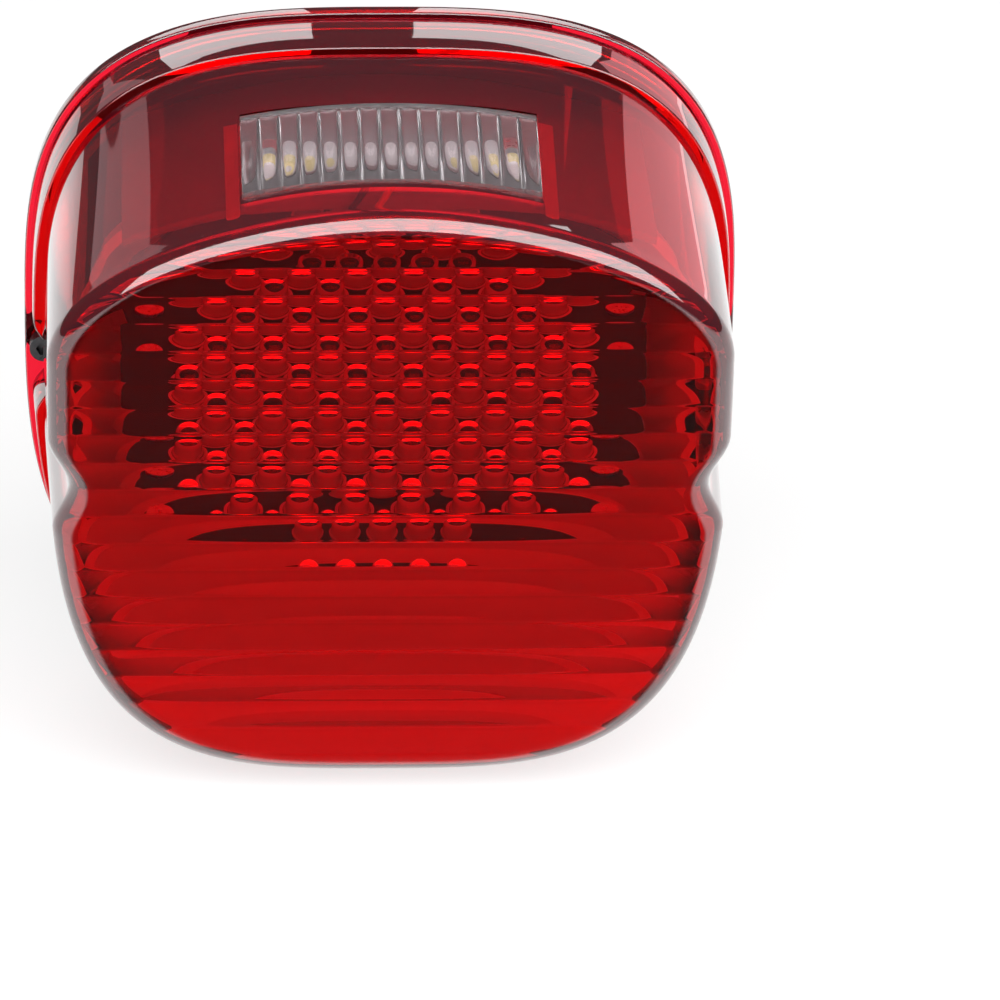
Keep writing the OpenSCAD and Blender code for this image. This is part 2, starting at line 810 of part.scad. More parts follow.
module left_lens_screw() {
  color([0.7, 0.71, 0.73]) lens_screw(-1);
}

module left_screw_washer() {
  color([0.8, 0.8, 0.8]) screw_washer(-1);
}

module right_lens_screw() {
  color([0.7, 0.71, 0.73]) lens_screw(1);
}

module right_screw_washer() {
  color([0.8, 0.8, 0.8]) screw_washer(1);
}

base_housing();
board_posts();
base_seal();
mount_inserts();
lens_screw_inserts();
rim_gasket();
wire_grommet();
reflector();
light_board();
board_screws();
red_leds();
chip_resistors();
regulator();
surge_diode();
filter_capacitor();
lead_connector();
plate_hood();
plate_board();
plate_board_screws();
white_leds();
red_jumper();
black_jumper();
lens_shell();
plate_window();
left_lens_screw();
left_screw_washer();
right_lens_screw();
right_screw_washer();
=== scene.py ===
import math

import bmesh
import bpy
import numpy as np
from mathutils import Matrix, Quaternion, Vector


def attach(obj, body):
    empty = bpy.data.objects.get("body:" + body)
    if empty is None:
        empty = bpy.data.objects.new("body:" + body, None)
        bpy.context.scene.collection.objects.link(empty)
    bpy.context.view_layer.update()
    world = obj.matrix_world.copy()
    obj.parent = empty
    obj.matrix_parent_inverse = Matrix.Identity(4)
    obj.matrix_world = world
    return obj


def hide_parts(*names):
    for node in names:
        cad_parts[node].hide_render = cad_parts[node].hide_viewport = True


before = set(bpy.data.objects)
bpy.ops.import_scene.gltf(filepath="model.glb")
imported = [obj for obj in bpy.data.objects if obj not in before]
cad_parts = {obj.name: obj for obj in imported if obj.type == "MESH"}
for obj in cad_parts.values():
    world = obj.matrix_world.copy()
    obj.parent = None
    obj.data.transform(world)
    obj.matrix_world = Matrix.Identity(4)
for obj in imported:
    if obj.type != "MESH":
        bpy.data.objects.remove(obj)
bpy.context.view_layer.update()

# Shapes are drawn in millimetres as x, height and depth; depth runs from the fender to the viewer
MM = 0.001
SAME_POINT = 0.0001 * MM
SHARP_ANGLE = math.radians(35)

# Outline of the rear lip: half-width, reach above and below the origin, squareness
LIP_HALF, LIP_TOP, LIP_BOTTOM, LIP_POWER = 65.0, 58.0, 73.0, 3.0
# Outline of the face: half-width, widest line, rise, drop, squareness above and below
FACE_HALF, FACE_MID, FACE_RISE, FACE_DROP = 61.0, 17.5, 31.5, 87.5
FACE_TOP_POWER, FACE_LOW_POWER = 1.9, 3.4
# Depth of the face at the origin's height, and how far it leans forward with height
FACE_FRONT, FACE_LEAN = 68.8, 0.09
# Lens wall: depths of its steps and insets of its surfaces from the lip's outline
LENS_BACK, LIP_FRONT, SHOULDER, LEDGE = 5.3, 8.3, 19.3, 17.3
LIP_LEDGE, SKIRT_INSET, SKIRT_INNER, WALL_INSET = 1.0, 1.6, 3.6, 3.0
WALL, FACE_THICKNESS, RIM_RADIUS, EDGE_ROUND = 2.4, 3.0, 5.0, 0.4
# Ribs inside the face
RIB_PITCH, RIB_HEIGHT, RIB_START = 5.72, 0.38, 43.5
# Fineness of the lens: rows in a rib and at each end, how these close up, rings of rim and walls
ROWS_PER_RIB, END_ROWS, END_SPREAD = 12, 12, 30
EDGE_STEPS, RIM_STEPS, OUTER_STEPS, INNER_STEPS = 5, 14, 16, 8
# Screw channels in the sides, and the holes at their feet
CHANNEL_HEIGHT, CHANNEL_REACH, CHANNEL_DEPTH, CHANNEL_FACE_DEPTH = -8.4, 9.8, 6.7, 3.4
SCREW_X, SCREW_HOLE = 61.5, 1.6
# How far the cutters of holes and of the window's opening stand past the material
CUT_PAST, OPENING_PAST, CUT_SIDES = 1.0, 5.0, 32
# Plate-light window
WINDOW_HALF, WINDOW_BACK, WINDOW_FRONT, WINDOW_GAP = 26.5, 35.5, 60.5, 0.04
WINDOW_ARCH, WINDOW_THICKNESS = 136.0, 1.8
# Its flutes: roundness and height, and the share of that height near the window's ends
FLUTES, FLUTE_COLUMNS, FLUTE_RADIUS, FLUTE_SHARE = 15, 16, 1.7, 0.4
FLUTE_RUN_OUT = ((WINDOW_GAP, 0.0), (0.5, 0.6), (1.2, 1.0))
# Beads of cement at the window's ends: distance from it, width, top and foot under the roof
BOND_GAP, BOND_WIDTH, BOND_TOP, BOND_FOOT = 0.1, 2.4, 0.35, 1.0
BOND_STEPS, BOND_RINGS = 12, 25
# Light board and its field of LEDs: half-rows in columns, spacing and the two short rows
BOARD_FRONT = 31.6
LED_REACH = (4, 5, 6, 7, 6, 7, 6, 7, 6, 5)
LED_COLUMN, LED_ROW, LED_TOP = 5.0, 5.1, 20.0
SHORT_ROW, SHORT_REACH = 6.7, 2
# LED: body, dome in degrees from its foot, and (radius, depth) outlines of what it holds
LED_RADIUS, LED_COLLAR, LED_HEIGHT = 2.5, 2.9, 8.6
LED_FOOT = ((LED_COLLAR - 0.1, 0.0), (LED_COLLAR, 0.12), (LED_COLLAR, 0.85),
            (LED_COLLAR - 0.12, 1.0), (LED_RADIUS + 0.05, 1.0), (LED_RADIUS, 1.1))
DOME_START, DOME_TURN, DOME_STEPS, DOME_CLEAR = 5, 80, 9, 42.0
LED_CORE = ((0.3, 4.4), (1.5, 4.4), (1.7, 4.6), (1.7, 5.2), (1.5, 5.4), (0.3, 5.4))
LED_CUP = ((1.0, 5.42), (1.6, 5.83), (1.72, 5.83), (1.72, 5.42))
LED_FLANGE = ((0.3, 0.5), (2.2, 0.5), (2.25, 0.65), (2.2, 0.8), (0.3, 0.8))
LED_ANVIL = ((-1.9, -0.5, 0.8), (0.2, 0.5, 4.4))
LED_POST = ((0.6, -0.5, 0.8), (1.9, 0.5, 4.4))
PRINT_RING = ((2.95, 0.02), (2.95, 0.06), (3.55, 0.06), (3.55, 0.02))
BODY_SIDES, CORE_SIDES, PRINT_SIDES = 24, 20, 28
# Reflector bowl, and its holes for the board posts and the lead as x, height and radius
BOWL_HALF, BOWL_TOP, BOWL_BOTTOM, BOWL_FRONT = 57.0, 37.0, 64.0, 36.0
BOWL_FLOOR, BOWL_SLOPE, BOWL_CURVE, BOWL_WALL, BOWL_STEPS = 12.0, 8.0, 1.6, 1.6, 12
POST_HOLE, LEAD_HOLE = 3.45, 5.1
BOWL_HOLES = ((-40.0, -24.0, POST_HOLE), (40.0, -24.0, POST_HOLE), (-42.0, 10.0, POST_HOLE),
              (42.0, 10.0, POST_HOLE), (0.0, -22.0, LEAD_HOLE))
# Hood: crown, half-width, sag, thickness, depths, and the pad under the plate-light board
HOOD_CROWN, HOOD_HALF, HOOD_SAG, HOOD_THICKNESS = 42.5, 47.0, 8.8, 1.8
HOOD_BACK, HOOD_FRONT, HOOD_RINGS, NOSE_STEPS = 4.0, 52.0, 65, 10
PAD_HALF, PAD_DROP, PAD_BACK, PAD_EDGE = 25.5, 4.4, 35.0, 0.5
# Plate-light board and its tongue
PLATE_TOP, PLATE_THICKNESS, PLATE_EDGE = 44.1, 1.6, 0.15
PLATE_BACK, PLATE_FRONT, PLATE_HALF = 36.0, 49.0, 24.5
TONGUE_HALF, TONGUE_FRONT, TONGUE_LAP = 18.5, 52.0, 1.0
# White LED chips and their phosphor: corners about a chip's foot, and the radius of the edges
CHIP_COUNT, CHIP_PITCH, CHIP_DEPTH = 13, 3.45, 43.0
CHIP_BOX, CHIP_EDGE = ((-1.4, 0.0, -1.5), (1.4, 0.8, 1.5)), 0.1
CAP_BOX, CAP_EDGE = ((-1.05, 0.6, -1.15), (1.05, 1.0, 1.15)), 0.2
# Jumpers between the boards: half their distance, sideways shift, foot, and reach at the front
WIRE_SPREAD, WIRE_SHIFT, WIRE_FOOT, WIRE_REACH = 2.2, 7.0, 29.5, 57.0
# How the route rises, drifts aside, crests and falls over the hood's edge, and draws back below
WIRE_RISE, WIRE_DRIFT, WIRE_CREST, WIRE_FALL, WIRE_DRAW = 3.6, 3.0, 1.6, 8.0, 4.0
# Insulation and the stretch of the route that it covers, bare core, and solder outlines
WIRE_RADIUS, WIRE_START, WIRE_END, CORE_RADIUS, CORE_LAP = 0.65, 0.08, 0.94, 0.3, 0.02
SOLDER_FOOT = ((0.9, 0.0), (0.75, 0.2), (0.45, 0.6), (0.3, 1.0))
SOLDER_HEAD = ((0.9, 0.0), (0.75, 0.2), (0.45, 0.5), (0.3, 0.7))
WIRE_STEPS, WIRE_SIDES, CORE_STEPS, SOLDER_SIDES, TANGENT_STEP = 48, 14, 8, 16, 0.005
# Width of the broken edges on the pieces that keep their CAD shape
BROKEN_EDGES = {
    "base_housing": 0.3, "board_posts": 0.2, "light_board": 0.1,
    "mount_inserts": 0.15, "lens_screw_inserts": 0.15,
    "board_screws": 0.12, "plate_board_screws": 0.08,
    "left_lens_screw": 0.12, "right_lens_screw": 0.12,
    "left_screw_washer": 0.08, "right_screw_washer": 0.08,
    "chip_resistors": 0.08, "regulator": 0.15, "surge_diode": 0.15,
    "filter_capacitor": 0.3, "lead_connector": 0.15,
}
BROKEN_ANGLE, BROKEN_STEPS, JOIN_GAP = math.radians(40), 2, 0.001
# What noise mostly gives, its roughness, and its detail in broad patches and in fine grain
NOISE_LOW, NOISE_HIGH, NOISE_ROUGHNESS, PATCH_DETAIL, GRAIN_DETAIL = 0.3, 0.7, 0.6, 4.0, 2.0
# Patches of haze on see-through plastic, per metre, and the lens's hard coat
HAZE_SCALE, COAT_IOR, COAT_ROUGHNESS = 140.0, 1.7, 0.02
# Floor: height and reach in metres, its own grey, roughness, and its glow where it is seen
FLOOR, FLOOR_REACH, FLOOR_GREY, FLOOR_ROUGHNESS, FLOOR_GLOW = -0.0735, 3.0, 0.35, 0.9, 0.7
WORLD_LEVEL = 0.07
# Where the front light and the panels behind look, in metres
FRONT_TARGET, BACK_TARGET = (0, -0.03, 0), (0, -0.03, 0.02)
# Tints of the strips behind the lamp's right and left sides
STRIP_PINK, STRIP_ROSE = (1.0, 0.4, 0.43), (1.0, 0.62, 0.65)


# Materials

def new_material(name):
    mat = bpy.data.materials.new(name)
    mat.use_nodes = True
    nodes, links = mat.node_tree.nodes, mat.node_tree.links
    return mat, nodes, links, nodes["Principled BSDF"]


def noise(nodes, links, scale, detail=PATCH_DETAIL):
    """Object-space noise of the given scale per metre."""
    coords = nodes.new("ShaderNodeTexCoord")
    texture = nodes.new("ShaderNodeTexNoise")
    texture.inputs["Scale"].default_value = scale
    texture.inputs["Detail"].default_value = detail
    texture.inputs["Roughness"].default_value = NOISE_ROUGHNESS
    links.new(coords.outputs["Object"], texture.inputs["Vector"])
    return texture.outputs["Fac"]


def spread(nodes, links, value, low, high, from_low=NOISE_LOW, from_high=NOISE_HIGH):
    """Maps a value from one range to another."""
    ranged = nodes.new("ShaderNodeMapRange")
    ranged.inputs["From Min"].default_value = from_low
    ranged.inputs["From Max"].default_value = from_high
    ranged.inputs["To Min"].default_value = low
    ranged.inputs["To Max"].default_value = high
    links.new(value, ranged.inputs["Value"])
    return ranged.outputs["Result"]


def two_tone(nodes, links, value, dark, light):
    ramp = nodes.new("ShaderNodeValToRGB")
    stops = ((NOISE_LOW, dark), (NOISE_HIGH, light))
    for element, (position, colour) in zip(ramp.color_ramp.elements, stops):
        element.position = position
        element.color = (*colour, 1)
    links.new(value, ramp.inputs["Fac"])
    return ramp.outputs["Color"]


def bump(nodes, links, shader, value, strength, distance):
    node = nodes.new("ShaderNodeBump")
    node.inputs["Strength"].default_value = strength
    node.inputs["Distance"].default_value = distance
    links.new(value, node.inputs["Height"])
    links.new(node.outputs["Normal"], shader.inputs["Normal"])


def surface(name, dark, light, rough, scale, metallic=0.0, grain=None):
    """Solid surface with patches; grain is the scale, strength and distance of a fine bump."""
    mat, nodes, links, shader = new_material(name)
    patches = noise(nodes, links, scale)
    links.new(two_tone(nodes, links, patches, dark, light), shader.inputs["Base Color"])
    links.new(spread(nodes, links, patches, *rough), shader.inputs["Roughness"])
    shader.inputs["Metallic"].default_value = metallic
    if grain:
        grain_scale, strength, distance = grain
        fine = noise(nodes, links, grain_scale, GRAIN_DETAIL)
        bump(nodes, links, shader, fine, strength, distance)
    return mat


def clear(name, tint, ior, rough, absorption=None, through=1.0):
    """See-through plastic; absorption is a colour and a density per metre."""
    mat, nodes, links, shader = new_material(name)
    shader.inputs["Base Color"].default_value = (*tint, 1)
    shader.inputs["Transmission Weight"].default_value = through
    shader.inputs["IOR"].default_value = ior
    haze = noise(nodes, links, HAZE_SCALE)
    links.new(spread(nodes, links, haze, *rough), shader.inputs["Roughness"])
    if absorption:
        colour, density = absorption
        volume = nodes.new("ShaderNodeVolumeAbsorption")
        volume.inputs["Color"].default_value = (*colour, 1)
        volume.inputs["Density"].default_value = density
        links.new(volume.outputs["Volume"], nodes["Material Output"].inputs["Volume"])
    return mat


def hard_coat(material, facing, start, end, level, haze):
    """Glossy, faintly hazy coat that thins out on walls that face one way, inside and out."""
    nodes, links = material.node_tree.nodes, material.node_tree.links
    coords = nodes.new("ShaderNodeTexCoord")
    along = nodes.new("ShaderNodeVectorMath")
    along.operation = "DOT_PRODUCT"
    links.new(coords.outputs["Normal"], along.inputs[0])
    along.inputs[1].default_value = Vector(facing).normalized()
    either_side = nodes.new("ShaderNodeMath")
    either_side.operation = "ABSOLUTE"
    links.new(along.outputs["Value"], either_side.inputs[0])
    gloss = spread(nodes, links, either_side.outputs["Value"], 1.0, level, start, end)
    shader = nodes["Principled BSDF"]
    links.new(gloss, shader.inputs["Specular Tint"])
    links.new(gloss, shader.inputs["Coat Weight"])
    through = spread(nodes, links, gloss, 1.0, 1.0 - haze, 0.0, 1.0)
    links.new(through, shader.inputs["Transmission Weight"])
    shader.inputs["Coat IOR"].default_value = COAT_IOR
    shader.inputs["Coat Roughness"].default_value = COAT_ROUGHNESS


red_lens = clear("red_lens", tint=(1.0, 0.1, 0.2), ior=1.58, rough=(0.0, 0.02),
                 absorption=((0.95, 0.06, 0.22), 700.0))
hard_coat(red_lens, facing=(0, -1, -FACE_LEAN), start=0.93, end=0.965, level=0.02, haze=0.04)
clear_lens = clear("clear_lens", tint=(0.99, 0.93, 0.96), ior=1.5, rough=(0.0, 0.03), through=0.95)
led_epoxy = clear("led_epoxy", tint=(1.0, 0.85, 0.8), ior=1.53, rough=(0.0, 0.03), through=0.35)
led_dome = clear("led_dome", tint=(1.0, 0.8, 0.76), ior=1.53, rough=(0.0, 0.03))
chrome = surface("metallised_plastic", dark=(0.9, 0.9, 0.91), light=(0.95, 0.95, 0.95),
                 rough=(0.35, 0.45), scale=60.0, metallic=0.1, grain=(900.0, 0.05, 0.0001))
cup_silver = surface("cup_silver", dark=(0.9, 0.9, 0.89), light=(0.95, 0.95, 0.94),
                     rough=(0.08, 0.16), scale=900.0, metallic=1.0)
silver = surface("led_silver", dark=(0.85, 0.85, 0.84), light=(0.94, 0.94, 0.92),
                 rough=(0.2, 0.35), scale=900.0, metallic=0.3)
hood_plastic = surface("hood_plastic", dark=(0.32, 0.315, 0.32), light=(0.36, 0.355, 0.36),
                       rough=(0.3, 0.36), scale=700.0, grain=(3000.0, 0.03, 0.0001))
solder = surface("solder", dark=(0.6, 0.61, 0.62), light=(0.75, 0.76, 0.77),
                 rough=(0.15, 0.3), scale=1200.0, metallic=1.0)
black_plastic = surface("black_plastic", dark=(0.012, 0.012, 0.013), light=(0.03, 0.03, 0.032),
                        rough=(0.38, 0.55), scale=150.0, grain=(3500.0, 0.25, 0.0002))
black_board = surface("black_board", dark=(0.006, 0.008, 0.008), light=(0.012, 0.016, 0.015),
                      rough=(0.3, 0.42), scale=400.0, grain=(2500.0, 0.1, 0.0001))
white_board = surface("white_board", dark=(0.72, 0.73, 0.72), light=(0.82, 0.82, 0.8),
                      rough=(0.35, 0.5), scale=300.0)
rubber = surface("rubber", dark=(0.008, 0.008, 0.008), light=(0.018, 0.018, 0.018),
                 rough=(0.6, 0.8), scale=300.0, grain=(4000.0, 0.3, 0.0002))
brass = surface("brass", dark=(0.62, 0.43, 0.14), light=(0.8, 0.6, 0.24),
                rough=(0.2, 0.35), scale=500.0, metallic=1.0, grain=(1500.0, 0.1, 0.0001))
steel = surface("screw_steel", dark=(0.5, 0.51, 0.53), light=(0.68, 0.69, 0.7),
                rough=(0.22, 0.4), scale=700.0, metallic=1.0, grain=(2000.0, 0.1, 0.0001))
# Near-black steel on the lens screws and their washers is painted shade: it keeps them as dark as
# the shaded side channels that they sit in.
shaded_screw_steel = surface("shaded_screw_steel", dark=(0.04, 0.04, 0.042), light=(0.08, 0.08, 0.085),
                     rough=(0.25, 0.4), scale=700.0, metallic=0.9, grain=(2000.0, 0.1, 0.0001))
black_component = surface("black_component", dark=(0.012, 0.012, 0.014), light=(0.03, 0.03, 0.032),
                          rough=(0.45, 0.6), scale=900.0, grain=(5000.0, 0.2, 0.0001))
capacitor_sleeve = surface("capacitor_sleeve", dark=(0.02, 0.025, 0.09), light=(0.04, 0.05, 0.14),
                           rough=(0.2, 0.3), scale=300.0)
ivory_plastic = surface("ivory_plastic", dark=(0.62, 0.57, 0.45), light=(0.72, 0.68, 0.56),
                        rough=(0.35, 0.5), scale=300.0)
chip_white = surface("chip_white", dark=(0.82, 0.83, 0.8), light=(0.9, 0.9, 0.87),
                     rough=(0.25, 0.35), scale=900.0)
bond_white = surface("bond_white", dark=(0.86, 0.86, 0.85), light=(0.94, 0.94, 0.93),
                     rough=(0.3, 0.45), scale=500.0)
phosphor = surface("phosphor", dark=(0.85, 0.76, 0.3), light=(0.95, 0.88, 0.42),
                   rough=(0.25, 0.4), scale=900.0)
red_wire = surface("red_wire", dark=(0.88, 0.06, 0.05), light=(0.95, 0.09, 0.07),
                   rough=(0.3, 0.45), scale=400.0)
black_wire = surface("black_wire", dark=(0.01, 0.01, 0.01), light=(0.02, 0.02, 0.02),
                     rough=(0.35, 0.5), scale=400.0)


# Pieces

def place(points):
    """Points in the part's frame, in metres."""
    p = np.asarray(points, float)
    return np.stack([p[:, 0], -p[:, 2], p[:, 1]], 1) * MM


def put(name, data):
    """Object of a mesh, lamp or camera in the scene."""
    thing = bpy.data.objects.new(name, data)
    bpy.context.scene.collection.objects.link(thing)
    return thing


def turn_outward(mesh):
    """Joins points that coincide and turns all faces outward."""
    shape = bmesh.new()
    shape.from_mesh(mesh)
    bmesh.ops.remove_doubles(shape, verts=shape.verts, dist=SAME_POINT)
    bmesh.ops.recalc_face_normals(shape, faces=shape.faces)
    shape.to_mesh(mesh)
    shape.free()


def closed_mesh(name, shape):
    points, faces = shape
    mesh = bpy.data.meshes.new(name)
    mesh.from_pydata(place(points).tolist(), [], faces)
    turn_outward(mesh)
    return mesh


def cut(mesh, cutters):
    """The mesh with closed shapes taken out of it."""
    target = put("cut_target", mesh)
    tools = [put("cut_tool", closed_mesh("cut_tool", shape)) for shape in cutters]
    for tool in tools:
        modifier = target.modifiers.new("cut", "BOOLEAN")
        modifier.operation = "DIFFERENCE"
        modifier.solver = "EXACT"
        modifier.object = tool
    depsgraph = bpy.context.evaluated_depsgraph_get()
    made = bpy.data.meshes.new_from_object(target.evaluated_get(depsgraph))
    for extra in (target, *tools):
        bpy.data.objects.remove(extra)
    turn_outward(made)
    return made


def make_piece(name, shape, material, body, nodes=(), cutters=()):
    """Piece of the given shape less the cutters, which rides on a body and replaces nodes."""
    mesh = closed_mesh(name, shape)
    if cutters:
        mesh = cut(mesh, cutters)
    mesh.polygons.foreach_set("use_smooth", [True] * len(mesh.polygons))
    mesh.set_sharp_from_angle(angle=SHARP_ANGLE)
    mesh.materials.clear()
    mesh.materials.append(material)
    piece = put(name, mesh)
    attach(piece, body)
    if nodes:
        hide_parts(*nodes)
    return piece


# Shapes: each is a pair of points and faces

def skin(rings, closed_first=None, closed_last=None):
    """Skin through equal rings; a cap is plain, which is one face, or strips across the ring."""
    size = len(rings[0])
    points = np.concatenate(rings)
    faces = []
    for k in range(len(rings) - 1):
        for i in range(size):
            j = (i + 1) % size
            faces.append((k * size + i, k * size + j, (k + 1) * size + j, (k + 1) * size + i))
    for k, cap in ((0, closed_first), (len(rings) - 1, closed_last)):
        start, end = k * size, (k + 1) * size
        if cap == "plain":
            faces.append(tuple(range(start, end)))
        elif cap == "strips":
            for i in range(size // 2 - 1):
                faces.append((start + i, start + i + 1, end - 2 - i, end - 1 - i))
    return points, faces


def circles(profile, sides):
    """Circles about the depth axis through (radius, depth) pairs."""
    angles = np.arange(sides) * 2 * math.pi / sides
    return [np.stack([radius * np.cos(angles), radius * np.sin(angles), np.full(sides, depth)], 1)
            for radius, depth in profile]


def turned(profile, sides):
    """Solid turned about the depth axis."""
    return skin(circles(profile, sides), "plain", "plain")


def turned_ring(profile, sides):
    """Ring turned about the depth axis, whose profile is a closed outline."""
    rings = circles(profile, sides)
    points, faces = skin([*rings, rings[0]])
    count = len(rings) * sides
    return points[:count], [tuple(i % count for i in face) for face in faces]


def moved(shape, offset):
    points, faces = shape
    return points + np.asarray(offset, float), faces


def merged(*shapes):
    points, faces, start = [], [], 0
    for p, f in shapes:
        points.append(p)
        faces += [tuple(i + start for i in face) for face in f]
        start += len(p)
    return np.concatenate(points), faces


def repeated(shape, offsets):
    return merged(*(moved(shape, offset) for offset in offsets))


def box(low, high):
    (x0, y0, z0), (x1, y1, z1) = low, high
    points = np.array([(x, y, z) for x in (x0, x1) for y in (y0, y1) for z in (z0, z1)], float)
    faces = [(0, 1, 3, 2), (4, 6, 7, 5), (0, 4, 5, 1), (2, 3, 7, 6), (0, 2, 6, 4), (1, 5, 7, 3)]
    return points, faces


def quarter_turn(steps):
    """Angles of a quarter turn."""
    return [math.pi / 2 * k / steps for k in range(steps + 1)]


def rounded_box(low, high, radius, steps=3):
    (x0, y0, z0), (x1, y1, z1) = low, high
    turns = quarter_turn(steps)
    corners = ((x1, y1, 1, 1), (x0, y1, -1, 1), (x0, y0, -1, -1), (x1, y0, 1, -1))

    def ring(inset, depth):
        points = []
        for quarter, (x, y, sx, sy) in enumerate(corners):
            for a in turns:
                a += quarter * math.pi / 2
                points.append((x - sx * radius + (radius - inset) * math.cos(a),
                               y - sy * radius + (radius - inset) * math.sin(a), depth))
        return np.array(points)

    back = [ring(radius * (1 - math.sin(a)), z0 + radius * (1 - math.cos(a))) for a in turns]
    front = [ring(radius * (1 - math.cos(a)), z1 - radius * (1 - math.sin(a))) for a in turns]
    return skin(back + front, "plain", "plain")


def rod(x, height, start, end, radius):
    return moved(turned([(radius, start), (radius, end)], CUT_SIDES), (x, height, 0.0))


def on_curve(points, t):
    """Point on the curve that a list of control points pulls on."""
    points = np.asarray(points, float)
    while len(points) > 1:
        points = points[:-1] * (1 - t) + points[1:] * t
    return points[0]


def tube(points, radius, start, end, steps):
    """Round tube along a stretch of such a curve."""
    rings = []
    angles = np.arange(WIRE_SIDES) * 2 * math.pi / WIRE_SIDES
    for t in np.linspace(start, end, steps):
        ahead, behind = min(1, t + TANGENT_STEP), max(0, t - TANGENT_STEP)
        along = on_curve(points, ahead) - on_curve(points, behind)
        along /= np.linalg.norm(along)
        u = np.cross(along, (1.0, 0.0, 0.0))
        u /= np.linalg.norm(u)
        v = np.cross(u, along)
        circle = np.outer(np.cos(angles), u) + np.outer(np.sin(angles), v)
        rings.append(on_curve(points, t) + radius * circle)
    return skin(rings, "plain", "plain")


# Lens

def row_shares():
    """Shares of the height at the lens's rows: fine over the ribs and denser at both ends."""
    low = FACE_MID - FACE_DROP + WALL
    high = FACE_MID + FACE_RISE - WALL
    ends = [(k / END_SPREAD) ** 3 / 3 for k in range(1, END_ROWS + 1)]
    step = RIB_PITCH / ROWS_PER_RIB
    below, above = int((RIB_START - low) / step), int((high - RIB_START) / step)
    ribs = [(RIB_START + k * step - low) / (high - low) for k in range(-below, above + 1)]
    inner = [s for s in ribs if ends[-1] < s < 1 - ends[-1]]
    return np.array(ends + inner + [1 - e for e in reversed(ends)])


SHARES = row_shares()


def outline(half, mid, rise, drop, top_power, low_power, dent=0.0):
    """Closed outline of x and height, up the right and down the left, with channels dented in."""
    z = mid - drop + SHARES * (rise + drop)
    v = np.where(z >= mid, (z - mid) / rise, (mid - z) / drop)
    power = np.where(z >= mid, top_power, low_power)
    x = half * np.maximum(0, 1 - v ** power) ** (1 / power)
    near = np.abs(z - CHANNEL_HEIGHT) < CHANNEL_REACH
    channel = np.cos(math.pi / 2 * (z - CHANNEL_HEIGHT) / CHANNEL_REACH) ** 2
    x = x - dent * np.where(near, channel, 0)
    right = np.stack([x, z], 1)
    left = np.stack([-x, z], 1)[::-1]
    return np.concatenate([right, left])


def lip_outline(inset, dent=0.0):
    return outline(LIP_HALF - inset, 0.0, LIP_TOP - inset, LIP_BOTTOM - inset,
                   LIP_POWER, LIP_POWER, dent)


def dented_lip(inset):
    return lip_outline(inset, CHANNEL_DEPTH - inset)


def face_outline(inset):
    return outline(FACE_HALF - inset, FACE_MID, FACE_RISE - inset, FACE_DROP - inset,
                   FACE_TOP_POWER, FACE_LOW_POWER, CHANNEL_FACE_DEPTH)


def at_depth(points, depth):
    return np.column_stack([points, np.full(len(points), depth)])


def face_depth(z):
    return FACE_FRONT + FACE_LEAN * z


def between(first, last, steps):
    """Rings strictly between two rings."""
    return [first + (last - first) * k / steps for k in range(1, steps)]


def outer_rings():
    """Rings of the lens from the face's edge down the outside to the lip's back."""
    r = EDGE_ROUND
    edge = [(r * (1 - math.cos(a)), r * math.sin(a)) for a in quarter_turn(EDGE_STEPS)]
    rings = []
    for a in quarter_turn(RIM_STEPS):
        ring = face_outline(RIM_RADIUS * (1 - math.sin(a)))
        depth = face_depth(ring[:, 1]) - RIM_RADIUS * (1 - math.cos(a))
        rings.append(np.column_stack([ring, depth]))
    wall_foot = at_depth(dented_lip(WALL_INSET), SHOULDER)
    rings += [*between(rings[-1], wall_foot, OUTER_STEPS), wall_foot]
    rings += [at_depth(dented_lip(SKIRT_INSET + r - b), SHOULDER - a) for a, b in edge]
    skirt_middle = dented_lip((SKIRT_INSET + LIP_LEDGE) / 2)
    rings.append(at_depth(skirt_middle, (SHOULDER + LIP_FRONT) / 2))
    rings.append(at_depth(dented_lip(LIP_LEDGE), LIP_FRONT))
    rings.append(at_depth(lip_outline(LIP_LEDGE - r / 4), LIP_FRONT))
    rings += [at_depth(lip_outline(r - b), LIP_FRONT - a) for a, b in edge]
    rings += [at_depth(lip_outline(a), LENS_BACK + r - b) for a, b in edge]
    return rings


def inner_rings():
    """Rings of the lens from the lip's back up the inside to the ribs."""
    skirt = lip_outline(SKIRT_INNER, CHANNEL_DEPTH - SKIRT_INSET)
    foot = at_depth(lip_outline(WALL_INSET + WALL, CHANNEL_DEPTH - WALL_INSET), LEDGE)
    inner = face_outline(WALL)
    share = (RIB_START - inner[:, 1]) / RIB_PITCH % 1
    ribs = 4 * RIB_HEIGHT * share * (1 - share)
    ribbed = np.column_stack([inner, face_depth(inner[:, 1]) - FACE_THICKNESS - ribs])
    wall = [foot, *between(foot, ribbed, INNER_STEPS), ribbed]
    return [at_depth(skirt, LENS_BACK), at_depth(skirt, LEDGE), *wall]


def make_lens():
    """Red shell with ribs inside its face, the window's opening and two screw holes."""
    shape = skin(outer_rings() + inner_rings(), "strips", "strips")
    opening = box((-WINDOW_HALF, FACE_MID, WINDOW_BACK),
                  (WINDOW_HALF, LIP_TOP + OPENING_PAST, WINDOW_FRONT))
    start, end = LENS_BACK - CUT_PAST, LIP_FRONT + CUT_PAST
    holes = [rod(side * SCREW_X, CHANNEL_HEIGHT, start, end, SCREW_HOLE) for side in (-1, 1)]
    make_piece("ribbed_lens", shape, red_lens, "lens", ["lens_shell"],
               [opening, *holes])


